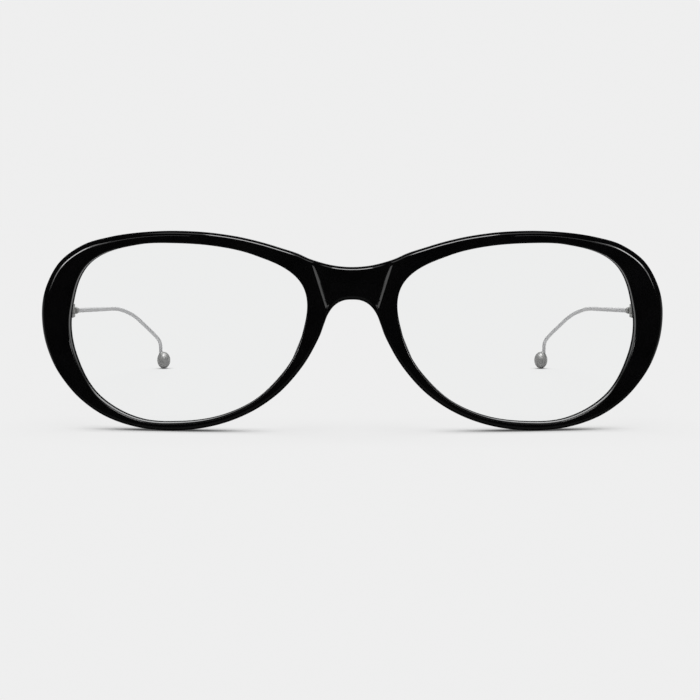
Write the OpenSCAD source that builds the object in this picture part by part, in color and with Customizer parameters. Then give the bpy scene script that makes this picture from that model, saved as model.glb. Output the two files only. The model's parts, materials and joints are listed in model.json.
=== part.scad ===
// Reading glasses: a bent acetate front with a keyhole bridge, two bevelled lenses, three-barrel
// hinges and slim wire temples that curve down to a bead at each end.
// +X is the wearer's left, the front faces -Y, +Z is up. The rims and the beads rest on z = 0.

/* [Lens openings] */
// Width of one lens opening
eye_w = 54.4; // [50:0.2:57]
// Height of one lens opening
eye_h = 40.8; // [36:0.2:44]
// Distance between the two openings across the bridge
bridge_gap = 20.2; // [19:0.2:23]

/* [Front] */
// Thickness of the acetate, front to back
front_t = 4.0; // [3.4:0.1:4.8]
// Radius that the whole front is bent to
wrap_r = 356; // [300:2:500]
// Rounding of the outer edges
edge_r = 1.1; // [0.6:0.05:1.2]
// Rounding of the edges round the openings
sight_edge = 0.35; // [0.2:0.05:0.45]
// Depth of the lens groove's middle behind the face
groove_y = 2.4; // [2:0.1:2.6]
// Rim width above a lens
rim_top = 2.65; // [2.3:0.05:3.4]
// Rim width above a lens, towards the bridge
rim_brow = 3.05; // [2.6:0.05:3.6]
// Rim width at the temple side, where the hinge sits
rim_temple = 6.85; // [6.4:0.05:7.5]
// Rim width below a lens
rim_bottom = 1.75; // [1.7:0.05:2.4]
// Rim width beside the nose
rim_nose = 3.5; // [3:0.1:4]

/* [Bridge] */
// Height of the bridge at its middle
bridge_h = 7.3; // [6:0.1:9]
// Drop from the middle of the bridge's top edge to the rims' top edge
bridge_drop = 8.0; // [7:0.1:9]
// Radius of the bridge's top edge
bridge_top_r = 24.8; // [22:0.2:28]
// Depth of the hollow across the bridge's face
scoop = 0.55; // [0.3:0.05:1.2]
// Half width of the hollow at the top edge of the bridge
scoop_top_x = 8.8; // [8:0.1:10]
// Half width of the hollow at the height of the nose arch
scoop_low_x = 6.5; // [5:0.1:7]
// Distance from the middle to where the bridge's top edge runs into a rim
bridge_reach = 12.4; // [12:0.1:13]
// Half width of the nose arch where it meets the rims' inner edges
arch_w = 5.45; // [5.2:0.05:5.8]
// Rise of the nose arch above that place
arch_h = 3.25; // [3:0.05:3.6]

/* [Lenses] */
// Edge thickness of a lens
lens_edge_t = 1.8; // [1.5:0.1:2.2]
// Thickness at the middle of a lens
lens_mid_t = 2.6; // [2.3:0.1:3.2]
// How far a lens bulges forward at its middle
lens_dome = 1.3; // [0.8:0.1:1.8]
// Height of the bevel round a lens, and depth of the groove that holds it
bevel = 0.6; // [0.4:0.05:0.7]
// Gap between a lens and its groove
lens_gap = 0.07; // [0.04:0.01:0.1]

/* [Nose pads] */
// How far a nose pad stands back from the front
pad_depth = 5.2; // [4:0.1:6.5]
// Radius of the pad's rounded sides
pad_r = 1.1; // [0.9:0.05:1.2]
// Share of the rim's width beside the nose, from the opening, at which a pad's middle sits
pad_side = 0.43; // [0.4:0.01:0.5]
// Height of a pad between its end centres
pad_h = 9; // [7:0.5:10]
// How far a pad's middle lies below the middle of the openings
pad_down = 2.3; // [1:0.1:3]
// How far a pad leans away from the nose at its free side
pad_lean = 0.45; // [0:0.05:0.8]

/* [Hinges] */
// Distance from a lens opening's temple side out to the hinge axis
hinge_side = 1.4; // [1.1:0.1:1.9]
// Height of a hinge above the middle of the openings
hinge_up = 4.6; // [2:0.2:6]
// Distance from the back of the front to the hinge axis
hinge_out = 2.9; // [2.7:0.1:3.6]
// Radius of the hinge barrels
barrel_r = 1.45; // [1.35:0.05:1.6]
// Thickness of each of the two outer eyes
eye_t = 0.9; // [0.8:0.05:1.2]
// Thickness of the middle knuckle
knuckle_t = 1.1; // [0.9:0.05:1.6]
// Gap between knuckles
knuckle_gap = 0.05; // [0.03:0.01:0.08]
// Radius of the hinge screw's shank
pin_r = 0.6; // [0.5:0.05:0.7]
// Running clearance round the shank in the middle knuckle
pin_gap = 0.04; // [0.02:0.01:0.08]
// Radius of the hinge screw's head
head_r = 1.1; // [1:0.05:1.3]
// Height of the hinge screw's head
head_h = 0.5; // [0.4:0.05:0.7]
// Height of a hinge plate
plate_h = 8.4; // [7.8:0.2:9.4]
// Width of a hinge plate
plate_w = 4.4; // [4:0.1:4.6]
// Thickness of a hinge plate
plate_t = 1.0; // [0.8:0.1:1.2]
// How deep a hinge plate is let into the front
plate_sunk = 0.6; // [0.4:0.05:0.7]
// How far a hinge plate's middle lies outside its hinge axis
plate_out = 1.45; // [1.2:0.05:1.6]
// Rounding of a hinge plate's corners
plate_round = 0.8; // [0.4:0.05:1]
// Radius of a plate screw's shank
plate_pin_r = 0.45; // [0.35:0.05:0.5]
// Radius of a plate screw's head
plate_head_r = 0.8; // [0.7:0.05:0.9]
// Height of a plate screw's head
plate_head_h = 0.35; // [0.3:0.05:0.5]
// How deep a plate screw bites into the front
plate_pin_l = 2.0; // [1.4:0.1:2.2]
// Distance from a plate screw to the plate's end
plate_screw_in = 1.25; // [1.1:0.05:1.4]
// Width of the slots in the screw heads
slot_w = 0.22; // [0.16:0.02:0.3]

/* [Temples] */
// Radius of the temple wire
wire_r = 0.55; // [0.45:0.05:0.6]
// Length of the straight run from the hinge axis to the bend
straight = 80; // [74:0.5:90]
// How far the straight run spreads outwards
spread = 3.8; // [3:0.1:4.2]
// How far a wire starts inside its hinge axis
wire_in = 0.9; // [0.7:0.05:1]
// Outer radius of the sleeve that holds the wire
sleeve_r = 0.8; // [0.75:0.05:1]
// Length of the sleeve
sleeve_l = 3.6; // [3:0.1:5]
// Distance from the hinge barrel to the sleeve
sleeve_off = 0.35; // [0.25:0.05:0.5]
// Thickness of the sleeve's closed end
sleeve_end = 0.6; // [0.4:0.05:0.8]
// Width of the neck that joins the middle knuckle to the sleeve
neck_w = 1.7; // [1.4:0.05:2]
// Radius of the bead at a temple's end
bead_r = 2.1; // [1.9:0.05:2.4]
// Height of the bead
bead_h = 5.4; // [4.8:0.1:6]
// How far the wire enters the bead outside its middle
bead_in = 0.95; // [0.8:0.05:1.1]
// Height above the bead's middle where the wire ends
bead_stop = 0.6; // [0.3:0.1:1]

/* [Hidden] */

// Small clearances between pieces that are fixed to each other
fixed_gap = 0.03;
glue_gap = 0.05;
// Overlap that joins the shapes within one piece
bite = 0.2;
// Curves drawn with this many sides
round_fn = 48;

// Places worked out from the sizes
eye_x = bridge_gap / 2 + eye_w / 2;
eye_z = rim_bottom + eye_h / 2;
hinge_x = eye_x + eye_w / 2 + hinge_side;
top_z = eye_z + eye_h / 2 + rim_top;
bridge_top_z = top_z - bridge_drop;
arch_z = bridge_top_z - bridge_h;
hinge_z = eye_z + hinge_up;
hinge_y = wrap(hinge_x) + front_t + hinge_out;
stack_h = 2 * eye_t + knuckle_t + 2 * knuckle_gap;

// Depth of the bent front at a distance x from its middle
function wrap(x) = wrap_r - sqrt(wrap_r * wrap_r - x * x);
function mix(a, b, t) = a + (b - a) * t;
function unit(v) = v / norm(v);
// Point between p1 and p2 on a smooth curve through four points
function curve(p0, p1, p2, p3, t) =
    0.5 * (2 * p1 + (p2 - p0) * t + (2 * p0 - 5 * p1 + 4 * p2 - p3) * t * t
        + (3 * p1 - p0 - 3 * p2 + p3) * t * t * t);

// The opening: an ellipse pushed out or in at clock angles 24 degrees apart.
// 0 points at the nose, 90 up, 180 at the temple.
reach_step = 24;
function reach_no(k) = [0.958, 1.104, 1.039, 0.996, 1.001, 1.065, 1.133, 1.026, 0.995, 1.048, 1.051,
    0.995, 0.962, 0.931, 0.903][(k + 360 / reach_step) % (360 / reach_step)];
function reach_at(a) =
    let (turn = a - 360 * floor(a / 360), k = floor(turn / reach_step), t = turn / reach_step - k)
    curve(reach_no(k - 1), reach_no(k), reach_no(k + 1), reach_no(k + 2), t);
function opening(a) =
    let (r = reach_at(a) / norm([cos(a) / eye_w * 2, sin(a) / eye_h * 2]))
    [eye_x - r * cos(a), eye_z + r * sin(a)];
function opening_out(a) =
    let (d = opening(a + 0.5) - opening(a - 0.5))
    unit([-d[1], d[0]]);

// Stations round one rim, from the middle of the bridge's top edge over the temple side and the
// bottom to the top of the nose arch: the clock angle on the opening and the outer edge there.
function bridge_edge(x) = [x, bridge_top_z + x * x / (2 * bridge_top_r)];
function rim_edge(a, w) = opening(a) + w * opening_out(a);
rim_plan = [[39, rim_brow + 0.55], [48, rim_brow + 0.2], [60, rim_brow - 0.1],
    [75, mix(rim_top, rim_brow, 0.5)], [90, rim_top + 0.15], [105, rim_top + 0.05],
    [120, rim_top + 0.1], [132, mix(rim_top, rim_temple, 0.105)],
    [142, mix(rim_top, rim_temple, 0.335)], [151, mix(rim_top, rim_temple, 0.69)],
    [160, mix(rim_top, rim_temple, 0.935)], [170, rim_temple - 0.05],
    [180, mix(rim_bottom, rim_temple, 0.885)], [190, mix(rim_bottom, rim_temple, 0.755)],
    [200, mix(rim_bottom, rim_temple, 0.575)], [211, mix(rim_bottom, rim_temple, 0.345)],
    [224, mix(rim_bottom, rim_temple, 0.17)], [240, rim_bottom + 0.05],
    [258, rim_bottom], [277, rim_bottom - 0.05], [295, rim_bottom - 0.05], [311, rim_bottom + 0.05],
    [325, mix(rim_bottom, rim_nose, 0.255)], [337, mix(rim_bottom, rim_nose, 0.45)],
    [349, mix(rim_bottom, rim_nose, 0.7)], [360, rim_nose + 0.3], [366.5, rim_nose + 0.73]];
// The bridge's top edge and the nose arch, in shares of their own sizes
top_plan = [[21, 0], [23.5, 0.363], [28.5, 0.734], [33.5, 1]];
arch_plan = [[370, 1, 1], [372, 0.742, 0.42], [373.3, 0.398, 0.08], [374, 0, 0]];
stations = concat(
    [for (s = top_plan) concat([s[0]], bridge_edge(s[1] * bridge_reach))],
    [for (s = rim_plan) concat([s[0]], rim_edge(s[0], s[1]))],
    [for (s = arch_plan) [s[0], s[1] * arch_w, arch_z - s[2] * arch_h]]);
last_station = len(stations) - 1;
function mirrored(s, middle) = [2 * middle - s[0], -s[1], s[2]];
function station(k) =
    k < 0 ? mirrored(stations[1], stations[0][0])
    : k > last_station ? mirrored(stations[last_station - 1], stations[last_station][0])
    : stations[k];
function along_rim(u) =
    let (k = min(floor(u), last_station - 1), t = u - k)
    curve(station(k - 1), station(k), station(k + 1), station(k + 2), t);

// Rays across the rim. Each is [clock angle, outer point, outward direction, is on the middle plane].
per_station = 2;
bridge_rays = 3;
// The lowest stretch of each rim is drawn down to a small flat that the glasses rest on
foot_flat = 0.45;
function flat_bottom(p) = [p[0], p[1] < foot_flat ? 0 : p[1]];
function rim_ray(u) =
    let (s = along_rim(u), a = along_rim(max(u - 0.05, 0)), b = along_rim(min(u + 0.05, last_station)),
        end = u == 0 || u == last_station, d = [b[1] - a[1], b[2] - a[2]],
        out = end ? [0, u == 0 ? 1 : -1] : unit([-d[1], d[0]]))
    [s[0], flat_bottom([end ? 0 : s[1], s[2]]), out, false];
first_angle = stations[0][0] + 360;
last_angle = stations[last_station][0];
function bridge_ray(t) =
    [mix(last_angle, first_angle, t), [0, mix(arch_z + edge_r, bridge_top_z - edge_r, t)], [-1, 0], true];
rays = concat(
    [for (i = [0 : last_station * per_station]) rim_ray(i / per_station)],
    [for (i = [1 : bridge_rays - 1]) bridge_ray(i / bridge_rays)]);
n_rays = len(rays);

// The bridge's face is hollowed between two creases
function crease_x(z) = mix(scoop_low_x, scoop_top_x, (z - arch_z) / (bridge_top_z - arch_z));
function face_y(p) =
    let (c = crease_x(p[1]), u = abs(p[0]) < c ? p[0] / c : 1)
    wrap(p[0]) + scoop * (1 - u * u * u * u);
function at_depth(p, y) = [p[0], wrap(p[0]) + y, p[1]];
function behind_face(p, y) = [p[0], face_y(p) + y, p[1]];

// Steps across the face, with one of them on the crease where a ray crosses it. It stays this
// share of the way off the ends.
face_steps = 6;
crease_step = 2;
least_share = 0.1;
most_share = 0.92;
function crease_share(near, far) =
    let (a = near[0] - crease_x(near[1]), b = far[0] - crease_x(far[1]))
    b < 0 ? min(max(a / (a - b), least_share), most_share) : crease_step / face_steps;
function face_share(near, far, i) =
    let (c = crease_share(near, far))
    i < crease_step ? c * i / crease_step : mix(c, 1, (i - crease_step) / (face_steps - crease_step));

// One cross-section of the front, from the front edge of the opening round to the lens groove.
// Its outer edges are rounded in steps of 30 degrees.
edge_turns = [30, 60, 90];
outer_start = face_steps + 1;
outer_end = outer_start + 2 * len(edge_turns) + 1;
function round_plan(ray, turn) = ray[3] ? ray[1] : ray[1] - edge_r * (1 - sin(turn)) * ray[2];
function round_depth(turn) = edge_r * (1 - cos(turn));
function section(ray) =
    let (in = opening(ray[0]), n = opening_out(ray[0]), near = in + sight_edge * n,
        far = round_plan(ray, 0))
    [at_depth(in, sight_edge),
        for (i = [0 : face_steps]) behind_face(mix(near, far, face_share(near, far, i)), 0),
        for (turn = edge_turns) behind_face(round_plan(ray, turn), round_depth(turn)),
        for (turn = [90, 60, 30, 0]) at_depth(round_plan(ray, turn), front_t - round_depth(turn)),
        at_depth(mix(near, far, 0.5), front_t), at_depth(near, front_t),
        at_depth(in, front_t - sight_edge), at_depth(in, groove_y + bevel),
        at_depth(in + bevel * n, groove_y), at_depth(in, groove_y - bevel)];
half_points = [for (r = rays) each section(r)];
n_section = len(half_points) / n_rays;
function is_open(i, j) =
    rays[i][3] && j >= outer_start && j < outer_end
    || rays[(i + 1) % n_rays][3] && j >= outer_start && j < outer_end;
function quads(base, flip) =
    [for (i = [0 : n_rays - 1], j = [0 : n_section - 1])
        let (a = i * n_section + j, b = i * n_section + (j + 1) % n_section,
            c = ((i + 1) % n_rays) * n_section + (j + 1) % n_section,
            d = ((i + 1) % n_rays) * n_section + j)
        if (!is_open(i, j))
            each flip ? [[base + a, base + b, base + c], [base + a, base + c, base + d]]
                : [[base + c, base + b, base + a], [base + d, base + c, base + a]]];

module front_blank() {
    other_half = [for (p = half_points) [-p[0], p[1], p[2]]];
    polyhedron(concat(half_points, other_half),
        concat(quads(0, false), quads(len(half_points), true)), convexity = 12);
}

// Draws its children on the wearer's left (side 1) or mirrored to the right (side -1)
module on_side(side) {
    mirror([side > 0 ? 0 : 1, 0, 0]) children();
}

// The hinge plate's own frame: on the back of the front, square to it
plate_x = hinge_x + plate_out;
plate_y = wrap(plate_x) + front_t;
plate_tilt = asin(plate_x / wrap_r);
plate_screw_z = plate_h / 2 - plate_screw_in;
module on_plate() {
    translate([plate_x, plate_y, hinge_z]) rotate([0, 0, plate_tilt]) children();
}

module rounded_plate(gap, depth) {
    w = plate_w + 2 * gap;
    h = plate_h + 2 * gap;
    r = plate_round;
    translate([0, depth, 0]) rotate([90, 0, 0]) linear_extrude(depth + plate_sunk + gap)
        union() {
            square([w, h - 2 * r], center = true);
            square([w - 2 * r, h], center = true);
            for (x = [-1, 1], z = [-1, 1])
                translate([x * (w / 2 - r), z * (h / 2 - r)]) circle(r, $fn = round_fn);
        }
}

module plate_holes(r, length) {
    for (z = [-1, 1]) translate([0, 0, z * plate_screw_z]) rotate([90, 0, 0])
        cylinder(r = r, h = length, $fn = round_fn);
}

module front_frame() {
    color([0.03, 0.03, 0.03]) difference() {
        front_blank();
        for (side = [-1, 1]) on_side(side) on_plate() {
            rounded_plate(fixed_gap, plate_t);
            plate_holes(plate_pin_r + fixed_gap, plate_pin_l + fixed_gap);
        }
    }
}

// Rings of a lens, from the bevel's ridge inwards. share is the distance from the middle, 0 to 1.
lens_shares = [0.78, 0.52, 0.26];
function lens_rim(i, out) = opening(rays[i][0]) + out * opening_out(rays[i][0]);
function lens_point(i, share) =
    mix([eye_x, eye_z], lens_rim(i, -lens_gap), share);
function lens_front(p, share) =
    [p[0], wrap(p[0]) + groove_y - lens_edge_t / 2 - lens_dome * (1 - share * share), p[1]];
function lens_back(p, share) =
    [p[0], wrap(p[0]) + groove_y + lens_edge_t / 2
        - (lens_dome - lens_mid_t + lens_edge_t) * (1 - share * share), p[1]];
function lens_ring(i) =
    concat([lens_front([eye_x, eye_z], 0)],
        [for (k = [2 : -1 : 0]) lens_front(lens_point(i, lens_shares[k]), lens_shares[k])],
        [lens_front(lens_point(i, 1), 1), at_depth(lens_rim(i, -lens_gap), groove_y - bevel),
            at_depth(lens_rim(i, bevel - lens_gap), groove_y),
            at_depth(lens_rim(i, -lens_gap), groove_y + bevel), lens_back(lens_point(i, 1), 1)],
        [for (k = [0 : 2]) lens_back(lens_point(i, lens_shares[k]), lens_shares[k])],
        [lens_back([eye_x, eye_z], 0)]);

module lens() {
    points = [for (i = [0 : n_rays - 1]) each lens_ring(i)];
    n = len(lens_ring(0));
    faces = [for (i = [0 : n_rays - 1], j = [0 : n - 2])
        let (a = i * n + j, d = ((i + 1) % n_rays) * n + j)
        each concat(j > 0 ? [[d, a + 1, a]] : [], j < n - 2 ? [[d, d + 1, a + 1]] : [])];
    color([0.75, 0.85, 0.9, 0.4]) polyhedron(points, faces, convexity = 4);
}

// A pad follows the back of the rim beside the nose, and leans away from the nose as it goes back.
// Its free side is shorter than its foot.
pad_tip_share = 0.72;
pad_tip_h = pad_tip_share * pad_h;
function beside_nose(z) =
    let (a = asin(z / (eye_h / 2)))
    mix(opening(a), rim_edge(a, rim_nose), pad_side);
pad_foot = beside_nose(-pad_down - pad_h / 2);
pad_seat = wrap(pad_foot[0] + pad_r) + front_t + glue_gap;
function pad_centre(z, y, lean) =
    let (p = beside_nose(z - pad_down))
    [p[0] + lean, pad_seat + y, p[1]];
module nose_pad() {
    base = [for (z = [-1, 0, 1]) pad_centre(z * pad_h / 2, 0, 0)];
    tip = [for (z = [-1, 0, 1]) pad_centre(z * pad_tip_h / 2, pad_depth - pad_r, pad_lean)];
    color([0.04, 0.04, 0.04]) intersection() {
        hull() for (p = concat(base, tip)) translate(p) sphere(pad_r, $fn = 24);
        translate([0, pad_seat, 0]) cube([eye_x, 2 * pad_depth, top_z]);
    }
}

// One eye or knuckle of the hinge, with its arm towards the front or the sleeve
module barrel(z, h, bore) {
    translate([0, 0, z]) difference() {
        union() {
            cylinder(r = barrel_r, h = h, $fn = round_fn);
            children();
        }
        translate([0, 0, -h]) cylinder(r = bore, h = 3 * h, $fn = round_fn);
    }
}

module on_hinge() {
    translate([hinge_x, hinge_y, hinge_z]) children();
}

module hinge_plate() {
    proud = plate_t - plate_sunk;
    arm = hinge_out - proud + barrel_r * tan(plate_tilt) + bite;
    color([0.7, 0.7, 0.72]) difference() {
        union() {
            on_plate() rounded_plate(0, proud);
            on_hinge() for (z = [-stack_h / 2, stack_h / 2 - eye_t])
                barrel(z, eye_t, pin_r + fixed_gap)
                    translate([-barrel_r, -arm, 0]) cube([2 * barrel_r, arm, eye_t]);
        }
        on_plate() translate([0, plate_t, 0])
            plate_holes(plate_pin_r + fixed_gap, 3 * plate_t);
    }
}

module plate_screw(up) {
    seat = plate_t - plate_sunk + fixed_gap;
    color([0.75, 0.75, 0.77]) on_plate() translate([0, seat, up * plate_screw_z]) difference() {
        union() {
            rotate([90, 0, 0]) cylinder(r = plate_pin_r, h = seat + plate_pin_l, $fn = round_fn);
            rotate([-90, 0, 0]) cylinder(r = plate_head_r, h = plate_head_h, $fn = round_fn);
        }
        translate([-plate_head_r - bite, plate_head_h / 2, -slot_w / 2])
            cube([2 * (plate_head_r + bite), plate_head_h, slot_w]);
    }
}

module hinge_screw() {
    top = stack_h / 2 + fixed_gap;
    color([0.78, 0.78, 0.8]) on_hinge() difference() {
        union() {
            translate([0, 0, -stack_h / 2]) cylinder(r = pin_r, h = stack_h + bite, $fn = round_fn);
            translate([0, 0, top]) cylinder(r = head_r, h = head_h, $fn = round_fn);
        }
        translate([-head_r - bite, -slot_w / 2, top + head_h / 2])
            cube([2 * (head_r + bite), slot_w, head_h]);
    }
}

// The wire: straight from the sleeve, then a bend whose points are steps from the end of the straight
bend = [[-0.1, 10, -0.8], [-0.6, 18, -1.9], [-1.4, 24.5, -3.2], [-2.3, 30.5, -4.9], [-3.3, 36, -7.0],
    [-4.5, 41, -9.2], [-5.7, 45.5, -11.4], [-6.5, 48.6, -13.3], [-6.7, 50.1, -15.2],
    [-6.7, 50.3, -17.2], [-6.7, 50.3, -19.1]];
bend_end = bend[len(bend) - 1];
// The straight run falls just enough for the bead to rest level with the rims
fall = hinge_z + bend_end[2] - bead_stop - bead_h / 2;
run = [spread, straight, -fall];
run_start = [hinge_x - wire_in, hinge_y, hinge_z];
bend_start = run_start + run;
wire_end = bend_start + bend_end;
bead_at = [wire_end[0] - bead_in, wire_end[1], bead_h / 2];
socket_start = barrel_r + sleeve_off;
wire_start = socket_start + sleeve_end;
function on_run(d) = run_start + run * (d / straight);
wire_knots = concat([on_run(wire_start), on_run(straight * 0.5), on_run(straight * 0.85)],
    [bend_start], [for (b = bend) bend_start + b]);
wire_steps = [1, 1, 1, 3, 3, 2, 2, 2, 2, 2, 2, 2, 1, 1];
n_knots = len(wire_knots);
function knot(k) =
    k < 0 ? 2 * wire_knots[0] - wire_knots[1]
    : k > n_knots - 1 ? 2 * wire_knots[n_knots - 1] - wire_knots[n_knots - 2] : wire_knots[k];
wire_path = concat([for (k = [0 : n_knots - 2], i = [0 : wire_steps[k] - 1])
    curve(knot(k - 1), knot(k), knot(k + 1), knot(k + 2), i / wire_steps[k])], [knot(n_knots - 1)]);

// A round tube along a path, its rings held upright by the X direction
module tube(path, r, sides) {
    n = len(path);
    function heading(i) = unit(path[min(i + 1, n - 1)] - path[max(i - 1, 0)]);
    function ring(i) =
        let (t = heading(i), u = unit([1, 0, 0] - t * t[0]), v = cross(t, u))
        [for (k = [0 : sides - 1])
            path[i] + r * (cos(360 * k / sides) * u + sin(360 * k / sides) * v)];
    points = [for (i = [0 : n - 1]) each ring(i)];
    walls = [for (i = [0 : n - 2], k = [0 : sides - 1])
        let (a = i * sides + k, b = i * sides + (k + 1) % sides)
        each [[a, b, a + sides], [b, b + sides, a + sides]]];
    first = [for (k = [1 : sides - 2]) [0, k + 1, k]];
    last = [for (k = [1 : sides - 2]) [(n - 1) * sides, (n - 1) * sides + k, (n - 1) * sides + k + 1]];
    polyhedron(points, concat(walls, first, last), convexity = 4);
}

module temple_wire() {
    color([0.8, 0.8, 0.82]) tube(wire_path, wire_r, 12);
}

// Lays +Z along the straight run of the wire
module along_run(d) {
    translate(on_run(d)) rotate([0, 0, -atan(spread / straight)])
        rotate([-90 - atan(fall / norm([spread, straight])), 0, 0]) children();
}

module temple_hinge() {
    color([0.7, 0.7, 0.72]) difference() {
        union() {
            on_hinge() barrel(-knuckle_t / 2, knuckle_t, pin_r + pin_gap)
                translate([-(neck_w + wire_in) / 2 + bite, 0, 0])
                    cube([neck_w, socket_start + bite, knuckle_t]);
            along_run(socket_start) cylinder(r = sleeve_r, h = sleeve_l, $fn = round_fn);
        }
        along_run(wire_start - fixed_gap)
            cylinder(r = wire_r + fixed_gap, h = 2 * sleeve_l, $fn = round_fn);
    }
}

// An egg-shaped bead with a blind hole for the wire
module temple_tip() {
    outline = [for (i = [0 : 24]) [bead_r * sin(i * 7.5), -bead_h / 2 * cos(i * 7.5)]];
    color([0.85, 0.85, 0.86]) difference() {
        translate(bead_at) rotate_extrude($fn = round_fn) polygon(outline);
        translate(wire_end - [0, 0, fixed_gap])
            cylinder(r = wire_r + fixed_gap, h = bead_h, $fn = round_fn);
    }
}

// The model is drawn with the bridge's face at y = 0. The origin lies under the middle of the whole
// object, so everything moves forward by half its depth.
front_y = min([for (p = half_points) p[1]]);
y_shift = -(front_y + bead_at[1] + bead_r) / 2;
module centred() {
    translate([0, y_shift, 0]) children();
}

centred() front_frame();
centred() on_side(1) lens();  // lens_left
centred() on_side(-1) lens();  // lens_right
centred() on_side(1) nose_pad();  // nose_pad_left
centred() on_side(-1) nose_pad();  // nose_pad_right
centred() on_side(1) hinge_plate();  // hinge_plate_left
centred() on_side(-1) hinge_plate();  // hinge_plate_right
centred() on_side(1) plate_screw(1);  // plate_screw_upper_left
centred() on_side(1) plate_screw(-1);  // plate_screw_lower_left
centred() on_side(-1) plate_screw(1);  // plate_screw_upper_right
centred() on_side(-1) plate_screw(-1);  // plate_screw_lower_right
centred() on_side(1) hinge_screw();  // hinge_screw_left
centred() on_side(-1) hinge_screw();  // hinge_screw_right
centred() on_side(1) temple_hinge();  // temple_hinge_left
centred() on_side(-1) temple_hinge();  // temple_hinge_right
centred() on_side(1) temple_wire();  // temple_wire_left
centred() on_side(-1) temple_wire();  // temple_wire_right
centred() on_side(1) temple_tip();  // temple_tip_left
centred() on_side(-1) temple_tip();  // temple_tip_right
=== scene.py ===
"""Reading glasses: a black acetate front, clear lenses, and steel temples that end in beads.

The sizes are in millimetres, in the frame that the shapes are drawn in: the bridge's face is at
y = 0, the front faces -Y, +X is the wearer's left, and the rims rest on z = 0. Shop.place()
turns them into metres in the shared frame. The lamps and the camera are placed in metres.
"""

from __future__ import annotations

import enum
import json
import logging
import math
from dataclasses import dataclass

import bmesh
import bpy
import numpy as np
from mathutils import Matrix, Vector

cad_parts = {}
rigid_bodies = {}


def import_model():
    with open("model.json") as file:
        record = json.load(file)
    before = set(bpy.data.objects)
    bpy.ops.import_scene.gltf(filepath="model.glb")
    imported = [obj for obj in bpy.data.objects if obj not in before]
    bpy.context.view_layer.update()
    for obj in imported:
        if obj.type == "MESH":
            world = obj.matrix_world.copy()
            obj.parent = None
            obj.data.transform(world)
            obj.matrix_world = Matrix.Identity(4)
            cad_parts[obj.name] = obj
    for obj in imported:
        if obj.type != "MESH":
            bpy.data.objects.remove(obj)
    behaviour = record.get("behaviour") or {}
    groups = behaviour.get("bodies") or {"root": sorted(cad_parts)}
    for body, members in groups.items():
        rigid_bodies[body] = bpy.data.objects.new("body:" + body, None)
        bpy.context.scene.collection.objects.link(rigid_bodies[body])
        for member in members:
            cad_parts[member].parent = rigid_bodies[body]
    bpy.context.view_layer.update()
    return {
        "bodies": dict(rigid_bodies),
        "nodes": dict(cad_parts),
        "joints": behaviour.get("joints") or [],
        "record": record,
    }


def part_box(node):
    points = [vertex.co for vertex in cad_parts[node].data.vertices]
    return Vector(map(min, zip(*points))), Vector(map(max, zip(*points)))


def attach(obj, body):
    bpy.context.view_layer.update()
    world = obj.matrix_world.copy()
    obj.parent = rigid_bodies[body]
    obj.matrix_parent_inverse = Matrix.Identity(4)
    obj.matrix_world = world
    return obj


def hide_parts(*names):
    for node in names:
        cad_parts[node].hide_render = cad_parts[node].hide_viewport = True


log = logging.getLogger("reading_glasses")

MM = 0.001
GROUND = 0.8610
"""Brightness of the pale ground."""

Triple = tuple[float, float, float]


class Side(enum.Enum):
    """The wearer's left is +X, the right -X."""

    LEFT = 1
    RIGHT = -1

    @property
    def word(self) -> str:
        """Ending of the names of this side's nodes."""
        return self.name.lower()


class Slot(enum.Enum):
    """The record's material slots."""

    ACETATE = "acetate"
    LENS = "lens"
    PAD = "pad"
    HINGE = "hinge"
    SCREW = "screw"
    WIRE = "wire"
    TIP = "tip"


class Body(enum.Enum):
    """The bodies that pieces ride on."""

    FRONT = "front"
    TEMPLE_LEFT = "temple_left"
    TEMPLE_RIGHT = "temple_right"

    @staticmethod
    def temple(side: Side) -> Body:
        """The temple body of a side."""
        return Body.TEMPLE_LEFT if side is Side.LEFT else Body.TEMPLE_RIGHT


class Lit(enum.Enum):
    """The pieces that share their softboxes. The metal needs far milder ones than the acetate."""

    POLISHED = "polished_pieces"
    METAL = "metal_pieces"

    @staticmethod
    def of(slot: Slot) -> Lit:
        """The group that the pieces of a material slot belong to."""
        metals = (Slot.HINGE, Slot.SCREW, Slot.WIRE, Slot.TIP)
        return Lit.METAL if slot in metals else Lit.POLISHED

    def collection(self) -> bpy.types.Collection:
        """The collection of these pieces, made when it is first needed."""
        return bpy.data.collections.get(self.value) or bpy.data.collections.new(self.value)


# --- curves and surfaces ---------------------------------------------------------------------


def spline(points: np.ndarray, t: np.ndarray) -> np.ndarray:
    """Point on a smooth curve through knots, a cubic through each four neighbours.

    Args:
        points: knots, with one more before the first and one more after the last stretch.
        t: places along it, 0 at the second knot and 1 at the third.

    Returns:
        One point for each t.
    """
    k = np.clip(np.floor(t).astype(int), 0, len(points) - 4)
    f = (t - k)[:, None]
    p0, p1, p2, p3 = points[k], points[k + 1], points[k + 2], points[k + 3]
    return 0.5 * (
        2 * p1
        + (p2 - p0) * f
        + (2 * p0 - 5 * p1 + 4 * p2 - p3) * f**2
        + (3 * p1 - p0 - 3 * p2 + p3) * f**3
    )


def between(first: float, second: float, share: float) -> float:
    """The value that lies a share of the way from the first to the second."""
    return first + (second - first) * share


def smooth(low: float, high: float, value: np.ndarray) -> np.ndarray:
    """0 below low, 1 above high, and 3 t^2 - 2 t^3 between them."""
    t = np.clip((value - low) / (high - low), 0.0, 1.0)
    return t * t * (3 - 2 * t)


def unit(vectors: np.ndarray) -> np.ndarray:
    """The vectors, each divided by its length."""
    return vectors / np.linalg.norm(vectors, axis=-1, keepdims=True)


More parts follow.
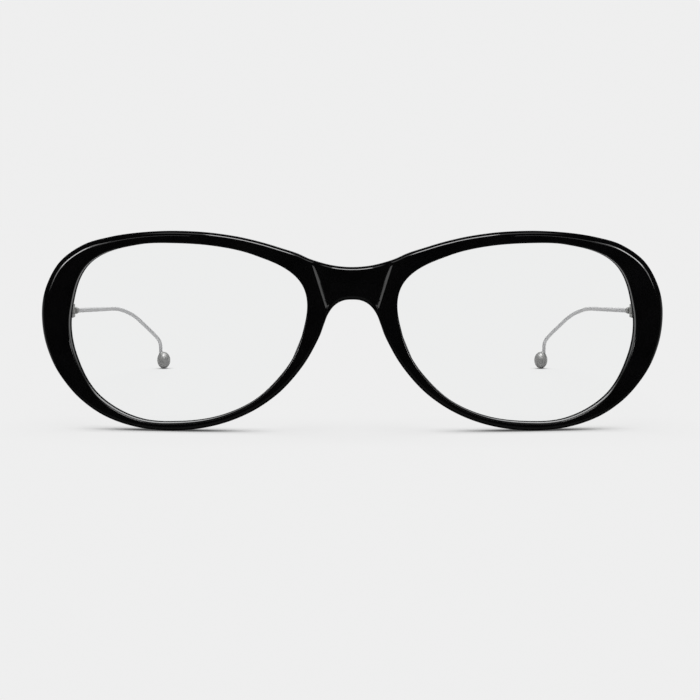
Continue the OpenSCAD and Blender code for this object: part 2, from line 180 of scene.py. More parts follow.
def sphere(steps: int, around: int) -> np.ndarray:
    """Directions all over a ball: (sin t cos a, sin t sin a, -cos t).

    Args:
        steps: steps of t from pole to pole.
        around: steps of a round the axis.

    Returns:
        An array (around, steps + 1, 3).
    """
    t = np.radians(np.linspace(0, 180, steps + 1))
    a = np.radians(np.arange(around) * 360.0 / around)
    t, a = np.meshgrid(t, a)
    return np.stack([np.sin(t) * np.cos(a), np.sin(t) * np.sin(a), -np.cos(t)], 2)


def grid_faces(rows: int, columns: int, close_rows: bool, close_columns: bool) -> np.ndarray:
    """Four-sided faces of a grid of points numbered row by row.

    Args:
        rows: number of rows.
        columns: points in a row.
        close_rows: the last row joins the first.
        close_columns: the last point of a row joins its first.

    Returns:
        An array (faces, 4) of point numbers.
    """
    i = np.arange(rows if close_rows else rows - 1)
    j = np.arange(columns if close_columns else columns - 1)
    i, j = np.meshgrid(i, j, indexing="ij")
    i, j = i.ravel(), j.ravel()
    i2, j2 = (i + 1) % rows, (j + 1) % columns
    return np.stack([i * columns + j, i2 * columns + j, i2 * columns + j2, i * columns + j2], 1)


def new_object(name: str, data: bpy.types.ID) -> bpy.types.Object:
    """Makes an object of a mesh, a lamp or a camera, and links it into the scene.

    Args:
        name: the object's name.
        data: what it shows.

    Returns:
        The linked object.
    """
    thing = bpy.data.objects.new(name, data)
    bpy.context.scene.collection.objects.link(thing)
    return thing


@dataclass
class Shop:
    """Turns arrays into finished objects at their places in the shared frame."""

    shift_y: float
    """Distance in millimetres from the drawn shapes to the shared frame, along Y."""
    gap: float = 2e-7
    """Distance in metres within which points are one."""

    def place(self, points: np.ndarray, side: Side) -> np.ndarray:
        """Metres in the shared frame of points drawn in millimetres for the wearer's left."""
        return (points * [side.value, 1, 1] + [0, self.shift_y, 0]) * MM

    def piece(
        self,
        name: str,
        points: np.ndarray,
        faces: np.ndarray,
        side: Side,
        uv: np.ndarray | None = None,
        sharp: float = 35.0,
        parts: np.ndarray | None = None,
    ) -> bpy.types.Object:
        """Makes a closed, smooth object of a grid of points.

        Args:
            name: the piece's name.
            points: (n, 3) or (rows, columns, 3) in millimetres, drawn for the wearer's left.
            faces: (m, 4) point numbers.
            side: where the piece goes.
            uv: (n, 2) place on the surface of each point, or None.
            sharp: the edges that turn by more than this many degrees stay sharp.
            parts: (m,) number of each face's material, or None for one material.

        Returns:
            The linked object.
        """
        mesh = bpy.data.meshes.new(name)
        where = self.place(points.reshape(-1, 3), side)
        corners = faces.shape[1]
        mesh.vertices.add(len(where))
        mesh.vertices.foreach_set("co", where.astype(np.float32).ravel())
        mesh.loops.add(faces.size)
        mesh.loops.foreach_set("vertex_index", faces.astype(np.int32).ravel())
        mesh.polygons.add(len(faces))
        mesh.polygons.foreach_set("loop_start", np.arange(0, faces.size, corners, dtype=np.int32))
        if parts is not None:
            mesh.polygons.foreach_set("material_index", parts)
        mesh.update(calc_edges=True)
        if uv is not None:
            layer = mesh.uv_layers.new(name="run")
            layer.data.foreach_set("uv", uv[faces.ravel()].astype(np.float32).ravel())
        self.close(mesh)
        mesh.polygons.foreach_set("use_smooth", np.ones(len(mesh.polygons), dtype=bool))
        mesh.set_sharp_from_angle(angle=math.radians(sharp))
        return new_object(name, mesh)

    def close(self, mesh: bpy.types.Mesh) -> None:
        """Merges points that lie together, drops flat faces, and turns every face outwards.

        Args:
            mesh: the mesh that is changed.
        """
        work = bmesh.new()
        work.from_mesh(mesh)
        bmesh.ops.remove_doubles(work, verts=work.verts, dist=self.gap)
        bmesh.ops.dissolve_degenerate(work, edges=work.edges, dist=self.gap)
        bmesh.ops.recalc_face_normals(work, faces=work.faces)
        work.to_mesh(mesh)
        work.free()
        mesh.validate()


# --- finishes --------------------------------------------------------------------------------


def add_node(
    tree: bpy.types.NodeTree,
    kind: str,
    inputs: dict[str | int, bpy.types.NodeSocket | tuple[float, ...] | float] | None = None,
) -> bpy.types.Node:
    """Adds a shader node.

    Args:
        tree: where it goes.
        kind: its type, without the word ShaderNode in front.
        inputs: by name or number, the socket that feeds an input, or the input's own value.

    Returns:
        The node.
    """
    node = tree.nodes.new("ShaderNode" + kind)
    for name, value in (inputs or {}).items():
        if isinstance(value, bpy.types.NodeSocket):
            tree.links.new(value, node.inputs[name])
        else:
            node.inputs[name].default_value = value
    return node


def add_math(
    tree: bpy.types.NodeTree,
    operation: str,
    first: bpy.types.NodeSocket,
    second: bpy.types.NodeSocket | float = 0.0,
) -> bpy.types.NodeSocket:
    """Adds a Math node.

    Args:
        tree: where it goes.
        operation: what it does with its values.
        first: its first value.
        second: its second value, where the operation has one.

    Returns:
        Its output.
    """
    node = add_node(tree, "Math", {0: first, 1: second})
    node.operation = operation
    return node.outputs["Value"]


@dataclass(frozen=True)
class Grain:
    """Cloudy noise on a piece's own coordinates."""

    scale: float
    """Waves to a metre, or to a unit of the UV map."""
    stretch: Triple = (1.0, 1.0, 1.0)
    """How much finer the noise is along each axis."""
    source: str = "Object"
    """The coordinates that it reads, Object or UV."""
    detail: float = 4.0
    """How many finer layers it has."""

    def build(self, tree: bpy.types.NodeTree) -> bpy.types.NodeSocket:
        """Adds the noise.

        Args:
            tree: where it goes.

        Returns:
            The noise's output, 0 to 1.
        """
        place = add_node(tree, "TexCoord").outputs[self.source]
        turned = add_node(tree, "Mapping", {"Vector": place, "Scale": self.stretch})
        inputs = {"Vector": turned.outputs["Vector"], "Scale": self.scale, "Detail": self.detail}
        return add_node(tree, "TexNoise", inputs).outputs["Fac"]


class Finish:
    """A material made of nodes. Each kind of finish adds its own nodes in dress()."""

    label: str = "finish"

    def material(self) -> bpy.types.Material:
        """Makes the material once, and gives the same one after that.

        Returns:
            The finish as a material.
        """
        found = bpy.data.materials.get(self.label)
        if found is not None:
            return found
        made = bpy.data.materials.new(self.label)
        made.use_nodes = True
        made.node_tree.nodes.clear()
        self.dress(made.node_tree)
        return made

    def dress(self, tree: bpy.types.NodeTree) -> None:
        """Adds the finish's nodes to an empty tree."""
        raise NotImplementedError


@dataclass(frozen=True)
class Grained(Finish):
    """A surface whose colour and relief follow a grain, and its roughness that or a haze."""

    dark: Triple = (0.0, 0.0, 0.0)
    light: Triple = (1.0, 1.0, 1.0)
    colour_span: tuple[float, float] = (0.35, 0.65)
    """The values of the grain that give the dark and the light colour."""
    roughness: tuple[float, float] = (0.4, 0.6)
    rough_span: tuple[float, float] = (0.3, 0.7)
    """The values of the haze that give the lowest and the highest roughness."""
    metal: float = 0.0
    ior: float = 1.5
    level: float = 0.5
    """Share of the surface's reflection, where 0.5 is all that the ior gives."""
    grain: Grain = Grain(900.0)
    haze: Grain | None = None
    """The noise of the roughness, where it isn't the grain."""
    relief: float = 0.05
    height: float = 1e-5
    """Strength of the relief, and its height in metres."""

    def dress(self, tree: bpy.types.NodeTree) -> None:
        """Joins the two noises to a ramp of colour, a range of roughness and a bump.

        Args:
            tree: where the nodes go.
        """
        grain = self.grain.build(tree)
        haze = self.haze.build(tree) if self.haze else grain
        ramp = add_node(tree, "ValToRGB", {"Fac": grain})
        ends = zip(ramp.color_ramp.elements, self.colour_span, (self.dark, self.light))
        for element, position, colour in ends:
            element.position = position
            element.color = (*colour, 1.0)
        rough = {"Value": haze, "From Min": self.rough_span[0], "From Max": self.rough_span[1]}
        rough |= {"To Min": self.roughness[0], "To Max": self.roughness[1]}
        bump = {"Height": grain, "Strength": self.relief, "Distance": self.height}
        surface = {
            "Base Color": ramp.outputs["Color"],
            "Roughness": add_node(tree, "MapRange", rough).outputs["Result"],
            "Normal": add_node(tree, "Bump", bump).outputs["Normal"],
            "Metallic": self.metal,
            "IOR": self.ior,
            "Specular IOR Level": self.level,
        }
        shader = add_node(tree, "BsdfPrincipled", surface)
        add_node(tree, "OutputMaterial", {"Surface": shader.outputs["BSDF"]})


@dataclass(frozen=True)
class PolishedAcetate(Grained):
    """Jet black acetate: faint clouds 6 mm wide, and the fine haze that polishing leaves."""

    label: str = "polished_black_acetate"
    dark: Triple = (0.0012, 0.0012, 0.0013)
    light: Triple = (0.0026, 0.0025, 0.0027)
    roughness: tuple[float, float] = (0.035, 0.06)
    ior: float = 1.48
    level: float = 0.42
    grain: Grain = Grain(160.0)
    haze: Grain | None = Grain(900.0, detail=6.0)
    relief: float = 0.04
    height: float = 2e-5


@dataclass(frozen=True)
class SatinAcetate(PolishedAcetate):
    """The acetate of the nose pads, a little duller where skin has rubbed it."""

    label: str = "satin_black_acetate"
    roughness: tuple[float, float] = (0.14, 0.24)


@dataclass(frozen=True)
class MilledAcetate(PolishedAcetate):
    """The acetate of the lens groove and of the wall behind it, matt from the cutter."""

    label: str = "milled_black_acetate"
    roughness: tuple[float, float] = (0.55, 0.70)
    level: float = 0.10


@dataclass(frozen=True)
class DrawnSteel(Grained):
    """Satin steel wire. Drawing leaves lines, a noise forty times finer round it than along."""

    label: str = "drawn_steel"
    dark: Triple = (0.82, 0.82, 0.83)
    light: Triple = (0.88, 0.88, 0.89)
    roughness: tuple[float, float] = (0.46, 0.52)
    metal: float = 0.32
    grain: Grain = Grain(14.0, (0.6, 24.0, 1.0), "UV")
    relief: float = 0.04


@dataclass(frozen=True)
class PolishedSteel(Grained):
    """The beads' steel: a soft polish, with the small cloudy wear of handling."""

    label: str = "polished_steel"
    dark: Triple = (0.64, 0.64, 0.63)
    light: Triple = (0.72, 0.72, 0.71)
    roughness: tuple[float, float] = (0.42, 0.50)
    metal: float = 0.58
    grain: Grain = Grain(1200.0, detail=6.0)
    height: float = 5e-6


@dataclass(frozen=True)
class MachinedNickel(Grained):
    """The hinges' nickel silver, with the level marks of the cutter."""

    label: str = "machined_nickel"
    dark: Triple = (0.60, 0.60, 0.58)
    light: Triple = (0.68, 0.68, 0.66)
    roughness: tuple[float, float] = (0.38, 0.46)
    metal: float = 0.72
    grain: Grain = Grain(900.0, (1.0, 1.0, 9.0))
    relief: float = 0.08


@dataclass(frozen=True)
class TurnedScrew(MachinedNickel):
    """The screws' brighter steel, with fine marks that run from front to back."""

    label: str = "turned_screw_steel"
    dark: Triple = (0.62, 0.62, 0.63)
    light: Triple = (0.71, 0.71, 0.72)
    roughness: tuple[float, float] = (0.32, 0.40)
    grain: Grain = Grain(900.0, (6.0, 1.0, 6.0))


@dataclass(frozen=True)
class CoatedLens(Finish):
    """Clear lens: what is behind shows through, and a coating leaves a faint cool reflection."""

    label: str = "coated_lens"
    tint: Triple = (0.992, 0.995, 0.994)
    reflection: Triple = (0.93, 0.98, 1.0)
    roughness: float = 0.02
    blend: float = 0.15
    onset: float = 0.25
    """How far the lens turns from the line of sight before the reflection sets in, 0 to 1."""
    facing: float = 0.0
    grazing: float = 0.30
    """Share of the reflection seen straight on, and seen along the lens."""

    def dress(self, tree: bpy.types.NodeTree) -> None:
        """Mixes a see-through and a mirror shader by the angle at which the lens is seen.

        Args:
            tree: where the nodes go.
        """
        clear = add_node(tree, "BsdfTransparent", {"Color": (*self.tint, 1.0)})
        gloss = {"Color": (*self.reflection, 1.0), "Roughness": self.roughness}
        mirror = add_node(tree, "BsdfGlossy", gloss)
        angle = add_node(tree, "LayerWeight", {"Blend": self.blend}).outputs["Facing"]
        limits = {"From Min": self.onset, "To Min": self.facing, "To Max": self.grazing}
        share = add_node(tree, "MapRange", {"Value": angle} | limits).outputs["Result"]
        both = {"Fac": share, 1: clear.outputs["BSDF"], 2: mirror.outputs["BSDF"]}
        mix = add_node(tree, "MixShader", both)
        add_node(tree, "OutputMaterial", {"Surface": mix.outputs["Shader"]})


@dataclass(frozen=True)
class Paper(Finish):
    """The pale sheet that the glasses stand on, as bright as the photograph's ground."""

    label: str = "pale_paper"
    painted_share: float = 0.85
    # Share of the sheet that the camera sees as an even glow of its colour, with a painted shadow
    # only close to things.
    """Share of the sheet that the camera sees evenly lit, with a shadow only close to things."""
    reach: float = 0.008
    # Height in metres over which a thing darkens the even glow with painted shadow.
    """Height in metres over which a thing shades the even part."""
    rays: int = 8
    open_span: tuple[float, float] = (0.15, 0.88)
    # How open the sheet is above where the painted shadow in its even glow is darkest, and where
    # the glow is full.
    """How open the sheet is above where its even part is darkest, and where it is full."""
    painted_darkest: float = 0.10

    def dress(self, tree: bpy.types.NodeTree) -> None:
        """A matt colour, and for the camera mostly the same colour as a glow, darkened near things
        by a painted shadow.

        Args:
            tree: where the nodes go.
        """
        colour = (GROUND, GROUND, GROUND, 1.0)
        matt = add_node(tree, "BsdfDiffuse", {"Color": colour})
        # painted shadow: ambient occlusion darkens the floor's glow near things; no lamp casts this
        # shadow
        near = add_node(tree, "AmbientOcclusion", {"Distance": self.reach})
        near.samples = self.rays
        limits = {"From Min": self.open_span[0], "From Max": self.open_span[1]}
        limits |= {"To Min": self.painted_darkest, "To Max": 1.0}
        painted_shadow = add_node(tree, "MapRange", {"Value": near.outputs["AO"]} | limits)
        painted_shadow.interpolation_type = "SMOOTHSTEP"
        lit = {"Color": colour, "Strength": painted_shadow.outputs["Result"]}
        even = add_node(tree, "Emission", lit)
        camera = add_node(tree, "LightPath").outputs["Is Camera Ray"]
        share = add_math(tree, "MULTIPLY", camera, self.painted_share)
        both = {"Fac": share, 1: matt.outputs["BSDF"], 2: even.outputs["Emission"]}
        mix = add_node(tree, "MixShader", both)
        add_node(tree, "OutputMaterial", {"Surface": mix.outputs["Shader"]})


def declare(
    thing: bpy.types.Object, node: str, body: Body, slot: Slot, *finishes: Finish
) -> bpy.types.Object:
    """Dresses a piece, hangs it on its body, hides the solid that it stands for, and puts it with
    those that share its softboxes.

    Args:
        thing: the piece.
        node: the solid that it stands for.
        body: what it moves with.
        slot: the record's material slot.
        finishes: one for each material number of its faces.

    Returns:
        The same piece.
    """
    for finish in finishes:
        thing.data.materials.append(finish.material())
    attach(thing, body.value)
    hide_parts(node)
    Lit.of(slot).collection().objects.link(thing)
    return thing


# --- the front -------------------------------------------------------------------------------


@dataclass
class Front:
    """The bent acetate front: its lens openings, its outer edge, and the body between them."""

    eye_w: float = 54.4
    eye_h: float = 40.8
    bridge_gap: float = 20.2
    """Width and height of an opening, and the least distance between the two."""
    thick: float = 4.0
    wrap_r: float = 356.0
    """Radius of the bend, seen from above."""
    edge_r: float = 1.1
    """Depth of the rounding at the front and the back of the outer edge."""
    corner_w: float = 1.45
    corner: tuple[float, ...] = (100.0, 150.0, 165.0, 215.0)
    """Width of the front rounding at the upper outer corner. Between the first two and the last
    two of these clock angles it grows from edge_r and shrinks back."""
    sight_edge: float = 0.35
    """Rounding of the opening's own two edges."""
    rim_top: float = 2.65
    rim_brow: float = 3.05
    rim_temple: float = 6.85
    rim_bottom: float = 1.75
    rim_nose: float = 3.5
    """Widths of the rim round the opening."""
    bridge_h: float = 7.3
    bridge_drop: float = 8.0
    """Height of the bridge, and how far its top lies below the rims' top."""
    bridge_top_r: float = 24.8
    bridge_reach: float = 12.4
    arch_w: float = 5.45
    arch_h: float = 3.25
    """Radius and half width of the bridge's top curve, and the arch's half width and drop."""
    scoop: float = 0.55
    scoop_top_x: float = 8.8
    scoop_low_x: float = 6.5
    """Depth of the hollow across the bridge, and its half widths at the top and at the arch."""
    groove_y: float = 2.4
    bevel: float = 0.6
    """Depth of the lens groove's middle behind the face, and the groove's own depth."""
    settle: float = 3.0
    """Height below which the edge is drawn down until it touches the table."""
    per_station: int = 8
    bridge_rays: int = 14
    """Rays across the rim between two stations, and across the bridge's middle."""
    sight_steps: int = 9
    face_steps: tuple[int, int] = (6, 12)
    face_power: float = 1.5
    front_steps: int = 12
    wall_steps: int = 4
    back_steps: int = 10
    rear_steps: int = 8
    """Steps along a ray over the opening's edge, the face up to and past the crease, the front
    rounding, the wall, the back rounding and the rear face. The power crowds the face's steps
    near the crease."""
    reach: tuple[float, ...] = (
        0.958, 1.104, 1.039, 0.996, 1.001, 1.065, 1.133, 1.026,
        0.995, 1.048, 1.051, 0.995, 0.962, 0.931, 0.903,
    )  # fmt: skip
    """How far the opening stands out from an ellipse, at clock angles 24 degrees apart."""

    @property
    def eye_x(self) -> float:
        """Distance from the middle plane to the middle of an opening."""
        return self.bridge_gap / 2 + self.eye_w / 2

    @property
    def eye_z(self) -> float:
        """Height of the middle of an opening."""
        return self.rim_bottom + self.eye_h / 2

    @property
    def bridge_top_z(self) -> float:
        """Height of the bridge's top edge at the middle plane."""
        return self.eye_z + self.eye_h / 2 + self.rim_top - self.bridge_drop

    @property
    def arch_z(self) -> float:
        """Height of the nose arch at the middle plane."""
        return self.bridge_top_z - self.bridge_h

    def wrap(self, x: np.ndarray) -> np.ndarray:
        """Depth of the bent front at x: a circle's sagitta, R - sqrt(R^2 - x^2)."""
        return self.wrap_r - np.sqrt(self.wrap_r**2 - np.asarray(x) ** 2)

    def opening(self, angle: np.ndarray) -> np.ndarray:
        """Edge of the opening: an ellipse's radius times the smooth curve through reach.

        Args:
            angle: clock angles in degrees, 0 at the nose, 90 up, 180 at the temple.

        Returns:
            (n, 2) points x, z.
        """
        turn = np.mod(angle, 360.0) / (360.0 / len(self.reach))
        knots = np.array(self.reach)
        ring = np.concatenate([knots[-1:], knots, knots[:2]])[:, None]
        share = spline(ring, turn)[:, 0]
        a = np.radians(angle)
        r = share / np.hypot(np.cos(a) / self.eye_w * 2, np.sin(a) / self.eye_h * 2)
        return np.stack([self.eye_x - r * np.cos(a), self.eye_z + r * np.sin(a)], 1)

    def opening_out(self, angle: np.ndarray, step: float = 0.5) -> np.ndarray:
        """Direction out of the opening: its tangent turned by a quarter.

        Args:
            angle: clock angles in degrees.
            step: half of the stretch in degrees over which the tangent is taken.

        Returns:
            (n, 2) directions of length 1.
        """
        along = self.opening(angle + step) - self.opening(angle - step)
        return unit(np.stack([-along[:, 1], along[:, 0]], 1))

    def stations(self) -> np.ndarray:
        """Places round one rim, from the bridge's top to the arch.

        Round the opening the edge stands out by the width that is given for each clock angle.
        Over and under the bridge it is a circle's curve and a short arch.

        Returns:
            (n, 3) clock angles and points x, z on the outer edge.
        """
        top, brow, temple = self.rim_top, self.rim_brow, self.rim_temple
        bottom, nose = self.rim_bottom, self.rim_nose
        upper = [(132, 0.105), (142, 0.335), (151, 0.69), (160, 0.935)]
        lower = [(180, 0.885), (190, 0.755), (200, 0.575), (211, 0.345), (224, 0.17)]
        inner = [(325, 0.255), (337, 0.45), (349, 0.7)]
        widths = np.array(
            [
                (39, brow + 0.55), (48, brow + 0.2), (60, brow - 0.1), (75, (top + brow) / 2),
                (90, top + 0.15), (105, top + 0.05), (120, top + 0.1),
                *((angle, between(top, temple, share)) for angle, share in upper),
                (170, temple - 0.05),
                *((angle, between(bottom, temple, share)) for angle, share in lower),
                (240, bottom + 0.05), (258, bottom), (277, bottom - 0.05), (295, bottom - 0.05),
                (311, bottom + 0.05),
                *((angle, between(bottom, nose, share)) for angle, share in inner),
                (360, nose + 0.3), (366.5, nose + 0.73),
            ]
        )  # fmt: skip
        rim = self.opening(widths[:, 0]) + widths[:, 1:] * self.opening_out(widths[:, 0])
        # clock angle and share of the reach over the bridge, then the same and the drop under it
        over = np.array([[21, 0], [23.5, 0.363], [28.5, 0.734], [33.5, 1]])
        x = over[:, 1] * self.bridge_reach
        bridge = np.stack([over[:, 0], x, self.bridge_top_z + x**2 / (2 * self.bridge_top_r)], 1)
        under = np.array([[370, 1, 1], [372, 0.742, 0.42], [373.3, 0.398, 0.08], [374, 0, 0]])
        arch = under * [1, self.arch_w, -self.arch_h] + [0, 0, self.arch_z]
        return np.concatenate([bridge, np.column_stack([widths[:, 0], rim]), arch])

    def rays(self, step: float = 0.02) -> tuple[np.ndarray, np.ndarray, np.ndarray, np.ndarray]:
        """Lines across the rim from the opening to the outer edge.

        Args:
            step: share of the way to the next station over which the tangent is taken.

        Returns:
            Clock angles (n,), outer points (n, 2), outward directions (n, 2), and True for the
            rays that end on the middle plane inside the bridge.
        """
        knots = self.stations()
        # the curve's outer knots mirror their neighbours in the middle plane
        first = knots[1] * [-1, -1, 1] + [2 * knots[0, 0], 0, 0]
        last = knots[-2] * [-1, -1, 1] + [2 * knots[-1, 0], 0, 0]
        ring = np.concatenate([[first], knots, [last]])
        end = len(knots) - 1
        t = np.linspace(0, end, end * self.per_station + 1)
        edge = spline(ring, t)
        along = spline(ring, np.minimum(t + step, end)) - spline(ring, np.maximum(t - step, 0))
        out = unit(np.stack([-along[:, 2], along[:, 1]], 1))
        # the two ends lie on the middle plane and head straight up and down
        out[0], out[-1] = (0, 1), (0, -1)
        edge[[0, -1], 1] = 0
        # the lowest stretch is drawn down until it just touches the table
        low = edge[:, 2].min()
        edge[:, 2] -= low * (1 - smooth(low, self.settle, edge[:, 2]))
        share = np.arange(1, self.bridge_rays) / self.bridge_rays
        angle = knots[-1, 0] + (knots[0, 0] + 360 - knots[-1, 0]) * share
        z_low, z_high = self.arch_z + self.edge_r, self.bridge_top_z - self.edge_r
        inside = np.stack([np.zeros_like(share), z_low + (z_high - z_low) * share], 1)
        sideways = np.tile([-1.0, 0.0], (len(share), 1))
        return (
            np.concatenate([edge[:, 0], angle]),
            np.concatenate([edge[:, 1:], inside]),
            np.concatenate([out, sideways]),
            np.concatenate([np.zeros(len(edge), bool), np.ones(len(share), bool)]),
        )

    def crease_x(self, z: np.ndarray) -> np.ndarray:
        """Half width of the hollow across the bridge at a height: a straight line."""
        share = (z - self.arch_z) / self.bridge_h
        return self.scoop_low_x + (self.scoop_top_x - self.scoop_low_x) * share

    def face_y(self, plan: np.ndarray) -> np.ndarray:
        """Depth of the face: the bend, and scoop (1 - u^4) inside the hollow's half width.

        Args:
            plan: (n, 2) points x, z.

        Returns:
            (n,) depths.
        """
        c = self.crease_x(plan[:, 1])
        u = np.where(np.abs(plan[:, 0]) < c, plan[:, 0] / np.where(c > 0, c, 1), 1.0)
        return self.wrap(plan[:, 0]) + self.scoop * (1 - u**4)

    def row(self, plan: np.ndarray, depth: np.ndarray | float, face: bool = False) -> np.ndarray:
        """Points that lie a depth behind the bend, or behind the face with its hollow.

        Args:
            plan: (n, 2) points x, z.
            depth: (n,) depths, or one for all.
            face: the depth counts from the face.

        Returns:
            (n, 3) points.
        """
        base = self.face_y(plan) if face else self.wrap(plan[:, 0])
        return np.stack([plan[:, 0], base + depth, plan[:, 1]], 1)

    def section(self) -> tuple[np.ndarray, int, int, np.ndarray]:
        """Cross-sections of one half along every ray.

        Each goes from the opening's front edge over the face, round the outer edge, back over
        the rear face and through the lens groove.

        Returns:
            Points (rays, n, 3), the first and the last number in a section of the part that a
            bridge ray leaves open, and the flags of the bridge rays.
        """
        angle, out, m, bridge = self.rays()
        inner, n = self.opening(angle), self.opening_out(angle)
        ends_inside = bridge[:, None]
        grows, widest, shrinks, even = self.corner
        bulge = smooth(grows, widest, angle) * (1 - smooth(shrinks, even, angle))
        # the rounding is edge_r deep everywhere, and wider than that at the upper outer corner
        width = (self.edge_r + (self.corner_w - self.edge_r) * bulge)[:, None]
        deep = self.edge_r
        near = inner + self.sight_edge * n
        far_front = np.where(ends_inside, out, out - width * m)
        far_back = np.where(ends_inside, out, out - deep * m)
        sight = [
            (inner + self.sight_edge * (1 - math.cos(t)) * n, self.sight_edge * (1 - math.sin(t)))
            for t in np.radians(np.linspace(0, 90, self.sight_steps + 1))
        ]
        rows = [self.row(plan, depth) for plan, depth in sight]
        # a step of the face lies on the crease where a ray crosses it
        a = near[:, 0] - self.crease_x(near[:, 1])
        b = far_front[:, 0] - self.crease_x(far_front[:, 1])
        crossing = np.where(b < 0, a / np.where(b < 0, a - b, 1), 1.0)[:, None]
        before, after = self.face_steps
        for k in range(1, before + after + 1):
            beyond = (max(k - before, 0) / after) ** self.face_power
            share = crossing * min(k / before, 1.0) + (1 - crossing) * beyond
            rows.append(self.row(near + (far_front - near) * share, 0.0, face=True))
        start_open = len(rows) - 1
        # the hollow runs straight on over the rounding
        hollow = self.face_y(far_front) - self.wrap(far_front[:, 0])
        for t in np.radians(np.linspace(0, 90, self.front_steps + 1))[1:]:
            plan = np.where(ends_inside, out, far_front + width * math.sin(t) * m)
            rows.append(self.row(plan, hollow + deep * (1 - math.cos(t))))
        # the wall runs from the rounded front to the rounded back
        wall = hollow + deep, self.thick - deep
        for k in range(1, self.wall_steps):
            rows.append(self.row(out, wall[0] + (wall[1] - wall[0]) * k / self.wall_steps))
        for t in np.radians(np.linspace(90, 0, self.back_steps + 1)):
            plan = np.where(ends_inside, out, far_back + deep * math.sin(t) * m)
            rows.append(self.row(plan, self.thick - deep * (1 - math.cos(t))))
        end_open = len(rows) - 1
        for share in np.linspace(0, 1, self.rear_steps + 1)[1:]:
            rows.append(self.row(far_back + (near - far_back) * share, self.thick))
        rows += [self.row(plan, self.thick - depth) for plan, depth in reversed(sight[:-1])]
        for outward, depth in ((0.0, self.bevel), (self.bevel, 0.0), (0.0, -self.bevel)):
            rows.append(self.row(inner + outward * n, self.groove_y + depth))
        return np.stack(rows, 1), start_open, end_open, bridge

    def build(self, shop: Shop) -> bpy.types.Object:
        """Both halves in one mesh, joined on the middle plane.

        Args:
            shop: what makes the object.

        Returns:
            The front.
        """
        points, start, end, bridge = self.section()
        rays, columns = points.shape[:2]
        faces = grid_faces(rays, columns, True, True)
        ray, column = faces[:, 0] // columns, faces[:, 0] % columns
        beside = bridge[ray] | bridge[(ray + 1) % rays]
        faces = faces[~(beside & (column >= start) & (column < end))]
        half = points.reshape(-1, 3)
        both = np.concatenate([half, half * [-1, 1, 1]])
        # a section ends with the wall behind the groove and the groove's three rows
        column = faces[:, 0] % columns
        milled = np.tile((column >= columns - self.sight_steps - 3) & (column < columns - 1), 2)
        faces = np.concatenate([faces, faces[:, ::-1] + len(half)])
        thing = shop.piece("front", both, faces, Side.LEFT, sharp=12, parts=milled.astype(np.int32))
        finishes = (PolishedAcetate(), MilledAcetate())
        return declare(thing, "front_frame", Body.FRONT, Slot.ACETATE, *finishes)


@dataclass
class Lens:
    """A lens: two domed faces and the bevel that sits in the front's groove."""

    front: Front
    edge_t: float = 1.8
    mid_t: float = 2.6
    dome: float = 1.3
    """Thickness at the edge and in the middle, and the front face's rise."""
    gap: float = 0.07
    """Clearance between the lens and the groove."""
    around: int = 180
    across: int = 18

    def build(self, shop: Shop, side: Side) -> bpy.types.Object:
        """Rings from the middle of the front face over the bevel to the middle of the back.

        The front face is groove - edge_t / 2 - dome (1 - s^2) deep and the back face
        groove + edge_t / 2 - (dome - mid_t + edge_t) (1 - s^2), where s is the share of the
        way from the middle to the edge.

        Args:
            shop: what makes the object.
            side: where it goes.

        Returns:
            The lens.
        """
        f = self.front
        angle = np.arange(self.around) * 360.0 / self.around
        middle = np.array([f.eye_x, f.eye_z])
        edge = f.opening(angle) - self.gap * f.opening_out(angle)
        ridge = f.opening(angle) + (f.bevel - self.gap) * f.opening_out(angle)
        face, back = f.groove_y - self.edge_t / 2, f.groove_y + self.edge_t / 2
        hollow = self.dome - self.mid_t + self.edge_t
        shares = np.sqrt(np.linspace(0, 1, self.across))
        rings = [(middle + (edge - middle) * s, 1 - s * s) for s in shares]
        rows = [f.row(ring, face - self.dome * rise) for ring, rise in rings]
        for ring, depth in ((edge, -f.bevel), (ridge, 0.0), (edge, f.bevel)):
            rows.append(f.row(ring, f.groove_y + depth))
        rows += [f.row(ring, back - hollow * rise) for ring, rise in reversed(rings)]
        faces = grid_faces(self.around, len(rows), True, False)
        name = "lens_" + side.word
        thing = shop.piece(name + "_clear", np.stack(rows, 1), faces, side, sharp=25)
        return declare(thing, name, Body.FRONT, Slot.LENS, CoatedLens())


